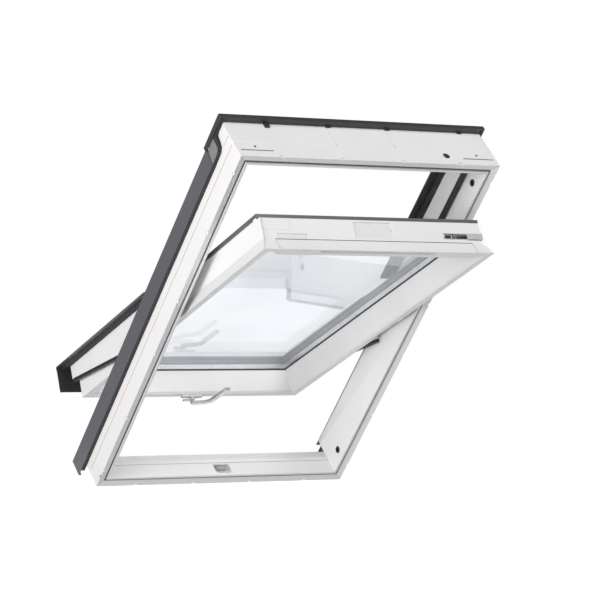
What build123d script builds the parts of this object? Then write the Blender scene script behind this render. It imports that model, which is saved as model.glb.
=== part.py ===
from build123d import *
from math import cos, radians, sin, sqrt
import os

os.makedirs("parts", exist_ok=True)

# A centre-pivot roof window: a white frame with grey outer covers, and a white glazed sash
# that turns about its middle. It is drawn upright and closed: x runs across, y from the room
# to the outside and z up the slope. At the end it is tilted to the roof and the sash opened.

# Driving sizes in millimetres and degrees
roof_pitch = 46.0
open_angle = 26.0
clean_angle = 161.0
frame_width = 780.0
frame_height = 1180.0
frame_depth = 133.0
pivot_over = 17.0
fit_gap = 0.3
pin_gap = 0.05

# Frame section, inwards from the outer side
strip_width = 17.0
strip_slope = 4.0
groove_width = 6.0
groove_depth = 12.0
lip_width = 6.0
lip_front = 1.5
stop_depth = 72.0
stop_reach = 45.0
stop_above = 60.0
recess_cut = 7.0
recess_below = 80.0
crease_bottom = 117.0
crease_top = 45.0
sill_step_depth = 50.0
sill_step_drop = 6.0
sill_step_run = 3.0
sill_ramp_depth = 72.0
sill_ramp_height = 20.5
sill_low_height = 8.0
sill_short = 29.0
notch_pitch = 180.0
notch_count = 4
notch_length = 9.0
notch_bite = 3.0
side_notches = (95.0, 330.0, 530.0)

# Head details
slot_length = 94.0
slot_place = 25.0
slot_width = 2.0
slot_end = 9.0
mould_depth = 5.0
dot_radius = 3.0
dot_in = 55.0
dot_place = 40.0
small_dots = ((-87.0, 60.0), (92.0, 61.0))
small_dot_radius = 2.0
plug_in = 152.0
plug_place = 34.0
plug_radius = 10.0
plug_recess = 6.5
plug_length = 12.0
mark_place = 57.0
mark_width = 2.5
clips = ((-267.0, 16.0), (-82.0, 5.0), (97.0, 5.0), (323.0, 5.0))
clip_width = 14.0
clip_height = 4.0
peg_height = 40.0
peg_place = 22.0
peg_radius = 3.0

# Seals in the frame
stop_seal_reach = 50.5
stop_seal_back = 31.0
stop_seal_thickness = 6.0
seal_step = 2.0
weather_seal_reach = 51.0
seal_flange = 2.0

# Sash section, inwards from the edge of its room face
side_gap = 44.0
head_gap = 41.0
sash_rise = 42.0
sash_depth = 44.0
sash_over = 9.0
flat_width = 20.0
edge_bevel = 6.3
glass_reach = 47.0
glass_under = 36.0
rebate_reach = 33.0
top_flare = 17.0
side_flare = 13.5
flare_level = 35.0
top_step = 29.0
top_step_level = 92.0
flange_reach = 14.0
flange_rise = 0.127
flange_under = 38.0
middle_reach = 6.0
middle_below = 80.0
middle_above = 50.0

# Glazing
pane_thickness = 4.0
spacer_depth = 14.0
spacer_reach = 50.0
seal_reach = 41.0
pane_gap = 2.0
gasket_thickness = 2.0
gasket_reach = 48.5
outer_gasket_reach = 52.0
block_length = 60.0
block_place = 180.0

# Covers outside, most of them by their level over the frame's outer face
sheet = 2.0
side_cover_out = 8.0
side_cover_under = 45.0
side_cover_over = 9.0
side_cover_foot = 46.0
side_cover_reach = 18.0
side_cover_slant = 14.0
side_cover_short = 4.0
ledge_over = 20.0
ledge_reach = 75.0
ledge_shoulder = 10.0
band_under = 51.0
band_foot = 22.0
band_rise = 10.0
band_bend = ((49.0, 60.0), (41.0, 49.0), (23.0, 43.0), (7.0, 40.0), (3.0, 30.0))
block_bend = ((45.0, 72.0), (42.0, 62.0), (34.0, 55.0), (0.0, 54.0))
block_gap = 1.0
hood_out = 10.8
hood_drop = 101.0
hood_rise = 17.0
hood_over = 22.3
hood_front_over = 12.0
hood_slope = 11.0
hood_side_over = 17.0
hood_shoulder = 20.0
hood_lip = 15.0
cover_in = 11.0
top_cover_in = 27.0
cover_over = 17.0
sash_cover_lap = 50.0
sash_cover_skirt = 12.0
lower_cover_over = 18.0
lower_cover_out = 2.0
lower_cover_gap = 20.0
bottom_cover_drop = 50.0
bottom_cover_lap = 52.0
bottom_cover_fold = 8.0
skirt_level = 33.0
skirt_thickness = 3.0
foam_start = 19.0
rail_seal_width = 5.0
rail_seal_thickness = 4.0

# Control flap
flap_in = 49.0
flap_gap = 1.0
flap_axis_in = 31.0
flap_axis_level = 28.0
flap_pin_radius = 2.0
flap_pin_length = 8.0
flap_reach = 36.0
flap_lip = 34.0
grip_length = 350.0
grip_width = 10.0
grip_depth = 7.0
grip_in = 12.0

# Slide bolt
bolt_axis_in = 37.0
bolt_axis_level = 53.0
bolt_radius = 5.0
bolt_knob_radius = 6.5
bolt_knob_length = 16.0
bolt_knob_in = 106.0
bolt_collar_length = 6.0
bolt_start_in = 136.0
bolt_tail_in = 129.0
bolt_tip_in = 10.0
bolt_nose = 1.0
bolt_channel = 17.0
bolt_trough = 92.0
bolt_travel = 42.0
bush_radius = 9.0
bush_length = 20.0
bush_rim_radius = 10.0
bush_rim = 1.5
bush_depth = 35.0

# Handle and striker
handle_across = -5.0
handle_in = 12.0
handle_base_length = 66.0
handle_base_width = 15.0
handle_base_height = 7.0
handle_level = 24.0
handle_grip_width = 14.0
handle_grip_height = 9.0
handle_cross = 51.0
handle_rise = 6.0
handle_bend = 13.0
handle_length = 116.0
handle_lean = 3.0
handle_round = 2.5
spindle_radius = 4.0
spindle_depth = 8.3
hub_radius = 6.0
tongue_reach = 30.0
tongue_width = 8.0
tongue_thickness = 5.0
tongue_level = 18.0
pocket_across = 4.0
pocket_width = 52.0
pocket_near = 10.0
pocket_far = 45.0
pocket_depth = 14.0
pocket_corner = 14.0
striker_wall = 2.0
catch_width = 34.0
catch_thickness = 2.5

# Parts on the top face of the sash, each filter as its distance in from the left edge,
# length and levels
filters = ((100.0, 86.0, 37.0, 50.0), (344.0, 113.0, 41.0, 86.0))
recess_depth = 4.0
finger_radius = 5.0
plate_in = 58.0
plate_level = 76.0
plate_length = 82.0
plate_width = 30.0
plate_corner = 3.0
plate_thickness = 0.6

# Pivot hinge
hinge_plate = 3.0
hinge_low = 62.0
hinge_high = 48.0
hinge_pin_radius = 5.0
hinge_ear_radius = 9.0
hinge_under = 33.0

# Places worked out from the sizes above
half_width = frame_width / 2
lip_reach = strip_width + groove_width + lip_width
opening_half = half_width - lip_reach
sill_depth = frame_depth - sill_short
pivot_height = frame_height / 2
pivot_depth = frame_depth + pivot_over
hinge_front = frame_depth - hinge_under
sash_width = frame_width - 2 * side_gap
sash_height = frame_height - sash_rise - head_gap
sash_half = sash_width / 2
sash_top = sash_rise + sash_height
sash_middle = sash_rise + sash_height / 2
sash_body = frame_depth + sash_over - sash_depth
glass_level = sash_body - glass_under
flange_level = sash_body - flange_under
middle_low = pivot_height - middle_below
middle_high = pivot_height + middle_above
stop_foot = pivot_height + stop_above
glass_back = glass_level + 2 * gasket_thickness + 2 * pane_thickness + spacer_depth
side_cover_low = frame_depth - side_cover_under
side_cover_top = frame_depth + side_cover_over
ledge_level = frame_depth + ledge_over
hood_low = frame_height - hood_drop
side_cover_end = hood_low - side_cover_short
sash_cover_level = frame_depth + cover_over - sash_depth
lower_cover_level = frame_depth + lower_cover_over - sash_depth
flap_half = sash_half - flap_in
bolt_start = sash_half - bolt_start_in
bolt_tip = sash_half - bolt_tip_in
recesses = [(gap - sash_half, length, near, far) for gap, length, near, far in filters]
quarter_turn = 90.0
roof = Location((0, 0, 0), (quarter_turn - roof_pitch, 0, 0))
roof = roof * Location((0, -sill_depth / 2, 0))
to_pivot = Location((0, pivot_depth, pivot_height))
opened = to_pivot * Location((0, 0, 0), (open_angle, 0, 0)) * to_pivot.inverse()
sash_place = roof * opened


def flat(plane, points):
    """Straight-sided outline on a plane."""
    with BuildSketch(plane) as outline:
        Polygon(*points, align=None)
    return outline.sketch


def hand_over(piece, name, place):
    """Label a finished piece, set it in the roof and write it."""
    piece.part.label = name
    piece.part.location = place
    export_step(piece.part, f"parts/{name}.step")


def mitre(x_corner, z_corner, z_sign):
    """Corner mitre with the upright member on its positive side."""
    x_sign = 1 if x_corner > 0 else -1
    return Plane(origin=(x_corner, 0, z_corner), x_dir=(0, 1, 0), z_dir=(x_sign, 0, -z_sign))


def across(points, half_length, mode=Mode.ADD):
    """Section given as (depth, height), run across the window."""
    outline = flat(Plane.YZ.offset(-half_length), points)
    extrude(outline, amount=2 * half_length, dir=(1, 0, 0), mode=mode)


def upright(points, low, high, mode=Mode.ADD):
    """Section given as (across, depth), run up the window."""
    extrude(flat(Plane.XY.offset(low), points), amount=high - low, dir=(0, 0, 1), mode=mode)


def at_side(points, x_sign, near, thickness, mode=Mode.ADD):
    """Outline given as (depth, height), at a distance in from one side of the frame."""
    start = x_sign * (half_width - near)
    outline = flat(Plane.YZ.offset(start), points)
    extrude(outline, amount=thickness, dir=(-x_sign, 0, 0), mode=mode)


def ring_at(level, thickness, outer_in, inner_in):
    """Flat ring round the glass, by its distances in from the edge of the sash."""
    with BuildSketch(Plane.XZ.offset(-(sash_depth + level))) as ring:
        with Locations((0, sash_middle)):
            Rectangle(sash_width - 2 * outer_in, sash_height - 2 * outer_in)
            if inner_in:
                Rectangle(sash_width - 2 * inner_in, sash_height - 2 * inner_in, mode=Mode.SUBTRACT)
    extrude(ring.sketch, amount=thickness, dir=(0, 1, 0))


# Frame section: a sloped outer strip, the lining groove and the lip round the opening
room_side = [
    (0, 0),
    (strip_width, strip_slope),
    (strip_width, groove_depth),
    (strip_width + groove_width, groove_depth),
    (strip_width + groove_width, lip_front),
    (lip_reach, lip_front),
]
stop_section = room_side + [
    (lip_reach, stop_depth),
    (stop_reach, stop_depth),
    (stop_reach, frame_depth),
    (0, frame_depth),
]
plain_section = room_side + [(lip_reach, frame_depth), (0, frame_depth)]
sill_section = room_side + [
    (lip_reach, sill_step_depth),
    (lip_reach - sill_step_drop, sill_step_depth + sill_step_run),
    (sill_ramp_height, sill_ramp_depth),
    (sill_low_height, sill_depth),
    (0, sill_depth),
]
sides = (("left", -1), ("right", 1))


def edge_notches(outer_edge, inward):
    """Notches along the room edge of the head or the sill."""
    with BuildSketch(Plane.XZ) as notches:
        with Locations((0, outer_edge + inward * notch_bite / 2)):
            with GridLocations(notch_pitch, 1, notch_count, 1):
                Rectangle(notch_length, notch_bite)
    extrude(notches.sketch, amount=2 * strip_slope, dir=(0, 1, 0), mode=Mode.SUBTRACT)


def installation_mark(outer_edge, outward):
    """Thin groove that marks the fitting depth round the outer side of the frame."""
    near, far = mark_place - mark_width / 2, mark_place + mark_width / 2
    inner = outer_edge - outward * mark_width / 2
    if abs(outer_edge) == half_width:
        section = [(outer_edge, near), (inner, mark_place), (outer_edge, far)]
        upright(section, 0, frame_height, mode=Mode.SUBTRACT)
    else:
        section = [(near, outer_edge), (mark_place, inner), (far, outer_edge)]
        across(section, half_width, mode=Mode.SUBTRACT)


# Frame head, with the thin mould slots and dimples of its top face
with BuildPart() as frame_head:
    across([(d, frame_height - s) for s, d in stop_section], half_width)
    for side, x_sign in sides:
        split(bisect_by=mitre(x_sign * half_width, frame_height, 1), keep=Keep.BOTTOM)
    edge_notches(frame_height, -1)
    installation_mark(frame_height, 1)
    with BuildSketch(Plane.XY.offset(frame_height)):
        for side, x_sign in sides:
            with Locations((x_sign * (half_width - slot_end - slot_length / 2), slot_place)):
                Rectangle(slot_length, slot_width)
            with Locations((x_sign * (half_width - dot_in), dot_place)):
                Circle(dot_radius)
        with Locations(*small_dots):
            Circle(small_dot_radius)
    extrude(amount=-mould_depth, mode=Mode.SUBTRACT)
    with BuildSketch(Plane.XY.offset(frame_height)):
        with Locations((half_width - plug_in, plug_place)):
            Circle(plug_radius)
    extrude(amount=-plug_length, mode=Mode.SUBTRACT)
hand_over(frame_head, "frame_head", roof)

# Plug in the head's service hole, dished, with a slot across the dish
with BuildPart() as head_plug:
    plug_at = (half_width - plug_in, plug_place)
    with BuildSketch(Plane.XY.offset(frame_height)):
        with Locations(plug_at):
            Circle(plug_radius - pin_gap)
    extrude(amount=-plug_length)
    with BuildSketch(Plane.XY.offset(frame_height)):
        with Locations(plug_at):
            Circle(plug_recess)
    extrude(amount=-plug_length / 4, mode=Mode.SUBTRACT)
    with BuildSketch(Plane.XY.offset(frame_height)):
        with Locations(plug_at):
            Rectangle(2 * plug_recess, slot_width)
    extrude(amount=-plug_length / 2, mode=Mode.SUBTRACT)
hand_over(head_plug, "head_plug", roof)

# Sill: its inner face drops towards the outside, with a pocket for the striker
pocket_middle = (pocket_near + pocket_far) / 2
pocket_run = pocket_far - pocket_near
with BuildPart() as frame_sill:
    across([(d, s) for s, d in sill_section], half_width)
    for side, x_sign in sides:
        split(bisect_by=mitre(x_sign * half_width, 0, -1), keep=Keep.BOTTOM)
    edge_notches(0, 1)
    with BuildSketch(Plane.XY.offset(lip_reach)) as pocket:
        with Locations((pocket_across, pocket_middle)):
            Rectangle(pocket_width, pocket_run)
        fillet(pocket.vertices().group_by(Axis.Y)[0], pocket_corner)
    extrude(amount=-pocket_depth, mode=Mode.SUBTRACT)
hand_over(frame_sill, "frame_sill", roof)

# Striker: a shell in the sill's pocket, with the catch plate that holds the handle's tongue
with BuildPart() as striker:
    with BuildSketch(Plane.XY.offset(lip_reach - pocket_depth)) as shell:
        with Locations((pocket_across, pocket_middle)):
            Rectangle(pocket_width - 2 * fit_gap, pocket_run - 2 * fit_gap)
        fillet(shell.vertices().group_by(Axis.Y)[0], pocket_corner - fit_gap)
    extrude(amount=pocket_depth - fit_gap)
    wall = fit_gap + striker_wall
    with BuildSketch(Plane.XY.offset(lip_reach - pocket_depth + striker_wall)) as hollow:
        with Locations((pocket_across, pocket_middle)):
            Rectangle(pocket_width - 2 * wall, pocket_run - 2 * wall)
        fillet(hollow.vertices().group_by(Axis.Y)[0], pocket_corner - wall)
    extrude(amount=pocket_depth, mode=Mode.SUBTRACT)
    catch_middle = sash_depth - tongue_level + tongue_thickness + fit_gap + catch_thickness / 2
    with BuildSketch(Plane.XY.offset(lip_reach - pocket_depth + striker_wall)):
        with Locations((pocket_across, catch_middle)):
            Rectangle(catch_width, catch_thickness)
    extrude(amount=pocket_depth - striker_wall - 2 * fit_gap)
hand_over(striker, "striker", roof)

# Places where the slide bolt enters the right jamb, for airing and for cleaning
bolt_rise = sash_top - bolt_axis_in - pivot_height
bolt_back = pivot_depth - sash_depth - bolt_axis_level
bolt_swing = sqrt(bolt_rise**2 + bolt_back**2)
clean_turn = radians(clean_angle)
vent_height = pivot_height + sqrt(bolt_swing**2 - (pivot_depth - bush_depth) ** 2)
clean_height = pivot_height + bolt_rise * cos(clean_turn) - bolt_back * sin(clean_turn)
clean_depth = pivot_depth - bolt_rise * sin(clean_turn) - bolt_back * cos(clean_turn)
bush_places = [(bush_depth, vent_height), (clean_depth, clean_height)]

# Jambs: plain below the pivot with a shallow outer facet, stepped above it as a stop.
# The right one is bored for the two bushes of the slide bolt, and for the bolt itself
# where it locks the shut sash.
facet_top = pivot_height - recess_below
notch_heights = [frame_height / 2 + way * gap for gap in side_notches for way in (-1, 1)]
for side, x_sign in sides:
    edge = x_sign * half_width
    inner = x_sign * opening_half
    with BuildPart() as jamb:
        upright([(edge - x_sign * s, d) for s, d in plain_section], 0, frame_height)
        stop_inner = x_sign * (half_width - stop_reach)
        stop_outline = [(inner, stop_depth), (stop_inner, stop_depth)]
        stop_outline += [(stop_inner, frame_depth), (inner, frame_depth)]
        upright(stop_outline, stop_foot, frame_height)
        split(bisect_by=mitre(edge, frame_height, 1), keep=Keep.TOP)
        split(bisect_by=mitre(edge, 0, -1), keep=Keep.TOP)
        past = frame_depth + recess_cut
        deep = inner + x_sign * recess_cut
        with BuildSketch(Plane.XY):
            Polygon((inner, crease_bottom), (inner, past), (deep, past), align=None)
        with BuildSketch(Plane.XY.offset(facet_top)):
            Polygon((inner, crease_top), (inner, past), (deep, past), align=None)
        loft(ruled=True, mode=Mode.SUBTRACT)
        with BuildSketch(Plane.XZ) as side_cuts:
            with Locations(*[(edge - x_sign * notch_bite / 2, z) for z in notch_heights]):
                Rectangle(notch_bite, notch_length)
        extrude(side_cuts.sketch, amount=2 * strip_slope, dir=(0, 1, 0), mode=Mode.SUBTRACT)
        installation_mark(edge, x_sign)
        with BuildSketch(Plane.YZ.offset(edge)) as peg_hole:
            with Locations((peg_place, peg_height)):
                Circle(peg_radius)
        extrude(peg_hole.sketch, amount=mould_depth, dir=(-x_sign, 0, 0), mode=Mode.SUBTRACT)
        if x_sign > 0:
            with BuildSketch(Plane.YZ.offset(opening_half)):
                with Locations(*bush_places):
                    Circle(bush_radius)
            extrude(amount=bush_length, mode=Mode.SUBTRACT)
            with BuildSketch(Plane.YZ.offset(stop_inner)) as keeper:
                with Locations((sash_depth + bolt_axis_level, sash_top - bolt_axis_in)):
                    Circle(bolt_radius + fit_gap)
            keeper_depth = bolt_tip + bolt_travel + fit_gap - stop_inner
            extrude(keeper.sketch, amount=keeper_depth, dir=(1, 0, 0), mode=Mode.SUBTRACT)
    hand_over(jamb, f"frame_jamb_{side}", roof)

# Two plastic bushes, their rims proud of the jamb, that take the end of the slide bolt
with BuildPart() as bolt_bushes:
    with BuildSketch(Plane.YZ.offset(opening_half)):
        with Locations(*bush_places):
            Circle(bush_radius - pin_gap)
    extrude(amount=bush_length)
    with BuildSketch(Plane.YZ.offset(opening_half)):
        with Locations(*bush_places):
            Circle(bush_rim_radius)
    extrude(amount=-bush_rim)
    with BuildSketch(Plane.YZ.offset(opening_half - bush_rim)):
        with Locations(*bush_places):
            Circle(bolt_radius + fit_gap)
    extrude(amount=bush_length, mode=Mode.SUBTRACT)
hand_over(bolt_bushes, "bolt_bushes", roof)

# The black seal on the room side of the stop and the ribbed weather seal under the covers:
# each runs up one jamb, across the head and down the other
seal_front = stop_depth - stop_seal_thickness
stop_seal_section = [
    (stop_seal_back, stop_depth),
    (stop_seal_back, seal_front + seal_step),
    (stop_seal_back + seal_step, seal_front),
    (stop_reach, seal_front),
    (stop_seal_reach - seal_step, seal_front + seal_step),
    (stop_seal_reach, seal_front + 2 * seal_step),
    (stop_seal_reach - seal_step, stop_depth),
]
seal_top = ledge_level - fit_gap
flange_low = seal_top - seal_flange
rib = (flange_low - frame_depth) / 5
weather_seal_section = [
    (stop_reach - rib, frame_depth),
    (stop_reach, frame_depth),
    (weather_seal_reach, frame_depth + rib),
    (stop_reach + rib, frame_depth + 2 * rib),
    (weather_seal_reach, frame_depth + 3 * rib),
    (stop_reach + rib, frame_depth + 4 * rib),
    (weather_seal_reach, flange_low),
    (ledge_reach, flange_low),
    (ledge_reach, seal_top),
    (stop_reach - rib, seal_top),
]
for name, section in (("stop_seal", stop_seal_section), ("weather_seal", weather_seal_section)):
    pieces = []
    with BuildPart() as top_run:
        across([(d, frame_height - s) for s, d in section], half_width)
        for side, x_sign in sides:
            split(bisect_by=mitre(x_sign * half_width, frame_height, 1), keep=Keep.BOTTOM)
    pieces.append(top_run.part)
    for side, x_sign in sides:
        edge = x_sign * half_width
        with BuildPart() as side_run:
            upright([(edge - x_sign * s, d) for s, d in section], stop_foot, frame_height)
            split(bisect_by=mitre(edge, frame_height, 1), keep=Keep.TOP)
        pieces.append(side_run.part)
    with BuildPart() as seal:
        for run in pieces:
            add(run)
    hand_over(seal, name, roof)

# Grey side covers: a wall beside the frame, cut on the slant at its upper end, a turned-in
# strip below the pivot and a raised ledge over the weather seal above it
cover_edge = half_width + side_cover_out
for side, x_sign in sides:
    outer = x_sign * cover_edge
    edge = x_sign * half_width
    turn_in = x_sign * (half_width - side_cover_reach)
    shoulder = x_sign * (half_width - ledge_shoulder)
    reach = x_sign * (half_width - ledge_reach)
    below = side_cover_top - sheet
    with BuildPart() as side_cover:
        wall = [(side_cover_low, -side_cover_foot), (side_cover_top, -side_cover_foot)]
        wall += [(side_cover_top, side_cover_end + side_cover_slant)]
        wall += [(side_cover_low, side_cover_end)]
        at_side(wall, x_sign, -side_cover_out, sheet)
        strip = [(outer, below), (outer, side_cover_top)]
        upright(strip + [(edge, side_cover_top), (edge, below)], -side_cover_foot, 0)
        upright(strip + [(turn_in, side_cover_top), (turn_in, below)], 0, stop_foot)
        ledge = [(outer, below), (outer, side_cover_top), (shoulder, ledge_level + sheet)]
        ledge += [(reach, ledge_level + sheet), (reach, ledge_level), (shoulder, ledge_level)]
        upright(ledge, stop_foot, side_cover_end)
        end_plate = [(side_cover_low, -side_cover_foot), (side_cover_top, -side_cover_foot)]
        end_plate += [(side_cover_top, sheet - side_cover_foot)]
        end_plate += [(side_cover_low, sheet - side_cover_foot)]
        at_side(end_plate, x_sign, -side_cover_out, side_cover_out)
    hand_over(side_cover, f"side_cover_{side}", roof)

    # Black foam band between the frame and the side cover, led round the corner block
    outside = [(frame_depth - under, frame_height - drop) for under, drop in band_bend]
    around = [(frame_depth - under, frame_height - drop) for under, drop in block_bend]
    band_low = frame_depth - band_under
    band = [(side_cover_low, side_cover_end), (side_cover_low, -band_foot)]
    band += [(band_low, -band_foot), (band_low, side_cover_end), *outside]
    band += [(outside[-1][0], frame_height + band_rise), (frame_depth, frame_height + band_rise)]
    band += reversed(around)
    with BuildPart() as side_band:
        at_side(band, x_sign, fit_gap - side_cover_out, side_cover_out - fit_gap)
    hand_over(side_band, f"side_band_{side}", roof)

    # Grey plastic block that closes the side cover under the hood, set in a dark joint
    slant = side_cover_slant / (side_cover_top - side_cover_low)
    block_foot = side_cover_end + slant * side_cover_under + 2 * block_gap
    block = [(d + block_gap, v - block_gap) for d, v in around[:-1]]
    block += [(frame_depth, around[-1][1] - block_gap), (frame_depth, block_foot)]
    block += [(side_cover_low + block_gap, side_cover_end + 2 * block_gap)]
    with BuildPart() as corner_block:
        at_side(block, x_sign, fit_gap - side_cover_out, side_cover_out - fit_gap)
    hand_over(corner_block, f"corner_block_{side}", roof)

# Grey hood over the head: a pressed tray with sloped shoulders, open below and at its lower
# end, with a lip folded down onto the outer face of the frame head
hood_half = half_width + hood_out
hood_top = frame_height + hood_rise
hood_level = frame_depth + hood_over
hood_front = frame_depth + hood_front_over
hood_side = frame_depth + hood_side_over


def hood_form(inset, foot):
    """Outer form of the hood, or its hollow when set in by the sheet."""
    profile = [
        (foot, hood_top - inset),
        (hood_front - inset / 2, hood_top - inset),
        (hood_level - inset, hood_top - hood_slope - inset / 2),
        (hood_level - inset, hood_low),
        (foot, hood_low),
    ]
    across(profile, hood_half - inset)
    wall = hood_half - inset
    bend = hood_half - hood_shoulder - inset / 2
    half = [(bend, hood_level - inset), (wall, hood_side - inset / 2), (wall, foot)]
    shoulders = half + [(-x, d) for x, d in reversed(half)]
    upright(shoulders, hood_low, hood_top, mode=Mode.INTERSECT)


with BuildPart() as head_cover:
    hood_form(0, frame_depth)
    with BuildPart(mode=Mode.SUBTRACT):
        hood_form(sheet, frame_depth - sheet)
    lip = [(frame_depth, frame_height - hood_lip), (frame_depth, hood_top - sheet)]
    lip += [(frame_depth + sheet, hood_top - sheet)]
    lip += [(frame_depth + sheet, frame_height - hood_lip)]
    across(lip, hood_half - sheet)
hand_over(head_cover, "head_cover", roof)

# Black clips that hold the hood's lip on the frame head: one long and three short
with BuildPart() as head_clips:
    with BuildSketch(Plane.XY.offset(frame_height)):
        for place, run in clips:
            with Locations((place, frame_depth - run / 2)):
                Rectangle(clip_width, run)
    extrude(amount=clip_height)
hand_over(head_clips, "head_clips", roof)

# Pivot plates on the jambs: a flat plate with a round ear that carries the sash's pin
for side, x_sign in sides:
    with BuildPart() as frame_hinge:
        plate = [(hinge_front, pivot_height - hinge_low), (frame_depth, pivot_height - hinge_low)]
        plate += [(pivot_depth, pivot_height - hinge_ear_radius)]
        plate += [(pivot_depth, pivot_height + hinge_ear_radius)]
        plate += [(frame_depth, pivot_height + hinge_high)]
        plate += [(hinge_front, pivot_height + hinge_high)]
        at_side(plate, x_sign, lip_reach, hinge_plate)
        with BuildSketch(Plane.YZ.offset(x_sign * opening_half)) as ear:
            with Locations((pivot_depth, pivot_height)):
                Circle(hinge_ear_radius)
        extrude(ear.sketch, amount=hinge_plate, dir=(-x_sign, 0, 0))
        with BuildSketch(Plane.YZ.offset(x_sign * half_width)) as eye:
            with Locations((pivot_depth, pivot_height)):
                Circle(hinge_pin_radius + pin_gap)
        extrude(eye.sketch, amount=frame_depth, dir=(-x_sign, 0, 0), mode=Mode.SUBTRACT)
    hand_over(frame_hinge, f"frame_hinge_{side}", roof)

# Sash section, by distance in from the edge and level from the room face
sash_room = [(0, 0), (flat_width, 0), (flat_width + edge_bevel, edge_bevel)]
rebate = [(glass_reach, glass_level), (rebate_reach, glass_level), (rebate_reach, sash_body)]
sash_front = sash_room + rebate
top_section = sash_front + [(top_flare, sash_body), (top_flare, flare_level)]
upper_section = sash_front + [(side_flare, sash_body), (side_flare, flare_level)]
middle_section = [(middle_reach, 0)] + sash_front[1:] + [(middle_reach, sash_body)]
cover_step = [
    (-fit_gap, top_step_level),
    (top_step, top_step_level),
    (top_step, sash_body + fit_gap),
    (-fit_gap, sash_body + fit_gap),
]
lower_section = sash_front + [(0, sash_body)]
bottom_section = sash_front + [
    (-flange_reach, sash_body),
    (-flange_reach, flange_level),
    (0, flange_level),
]


def sash_level(level):
    """Depth of a level in the sash when the window is shut."""
    return sash_depth + level


def sash_across(section, half_length, top=False, mode=Mode.ADD):
    """Sash section run across the window at its top or its bottom."""
    if top:
        across([(sash_level(b), sash_top - s) for s, b in section], half_length, mode)
    else:
        across([(sash_level(b), sash_rise + s) for s, b in section], half_length, mode)


def sash_upright(section, x_sign, low, high, mode=Mode.ADD):
    """Sash section run up one side of the window."""
    points = [(x_sign * (sash_half - s), sash_level(b)) for s, b in section]
    upright(points, low, high, mode)


# Top rail: cut away for the control flap, with a channel for the slide bolt and shallow
# recesses for the ventilation filter, and bored at both ends for the flap's pins
with BuildPart() as sash_top_rail:
    sash_across(top_section, sash_half, top=True)
    for side, x_sign in sides:
        split(bisect_by=mitre(x_sign * sash_half, sash_top, 1), keep=Keep.BOTTOM)
    sash_across(cover_step, sash_half, top=True, mode=Mode.SUBTRACT)
    flap_room = [(-flap_gap, -flap_gap), (glass_reach + flap_gap, -flap_gap)]
    flap_room += [(glass_reach + flap_gap, flare_level), (-flap_gap, flare_level)]
    sash_across(flap_room, flap_half + flap_gap, top=True, mode=Mode.SUBTRACT)
    pin_height = sash_top - flap_axis_in
    for side, x_sign in sides:
        with BuildSketch(Plane.YZ.offset(x_sign * flap_half)) as pin_hole:
            with Locations((sash_level(flap_axis_level), pin_height)):
                Circle(flap_pin_radius + pin_gap)
        deep = flap_pin_length + fit_gap
        extrude(pin_hole.sketch, amount=deep, dir=(x_sign, 0, 0), mode=Mode.SUBTRACT)
    channel_low = sash_top - bolt_axis_in - bolt_channel / 2
    with BuildSketch(Plane.XZ.offset(-sash_level(bolt_axis_level - bolt_channel / 2))) as channel:
        with Locations((bolt_start, channel_low)):
            Rectangle(sash_half, bolt_channel + sash_half, align=Align.MIN)
    extrude(channel.sketch, amount=bolt_channel, dir=(0, 1, 0), mode=Mode.SUBTRACT)
    for middle, length, near, far in recesses:
        with BuildSketch(Plane.XY.offset(sash_top - top_flare)):
            with Locations((middle, sash_level((near + far) / 2))):
                Rectangle(length, far - near)
        extrude(amount=-recess_depth, mode=Mode.SUBTRACT)
hand_over(sash_top_rail, "sash_top_rail", sash_place)

# Filter covers in the recesses of the top rail, each with a finger hole at its right end
with BuildPart() as filter_covers:
    for middle, length, near, far in recesses:
        with BuildSketch(Plane.XY.offset(sash_top - top_flare - recess_depth)):
            with Locations((middle, sash_level((near + far) / 2))):
                Rectangle(length - 2 * fit_gap, far - near - 2 * fit_gap)
            with Locations((middle + length / 2, sash_level((near + far) / 2))):
                Circle(finger_radius, mode=Mode.SUBTRACT)
        extrude(amount=recess_depth - 4 * fit_gap)
hand_over(filter_covers, "filter_covers", sash_place)

# Blank rating plate on the top rail
with BuildPart() as data_plate:
    with BuildSketch(Plane.XY.offset(sash_top - top_flare)):
        with Locations((plate_in - sash_half, sash_level(plate_level))):
            RectangleRounded(plate_length, plate_width, plate_corner)
    extrude(amount=plate_thickness)
hand_over(data_plate, "data_plate", sash_place)

# Bottom rail, bored for the handle's spindle
with BuildPart() as sash_bottom_rail:
    sash_across(bottom_section, sash_half)
    for side, x_sign in sides:
        split(bisect_by=mitre(x_sign * sash_half, sash_rise, -1), keep=Keep.BOTTOM)
    with BuildSketch(Plane.XZ.offset(-sash_depth)) as spindle_hole:
        with Locations((handle_across, sash_rise + handle_in)):
            Circle(spindle_radius + fit_gap)
    extrude(spindle_hole.sketch, amount=spindle_depth, dir=(0, 1, 0), mode=Mode.SUBTRACT)
hand_over(sash_bottom_rail, "sash_bottom_rail", sash_place)

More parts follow.
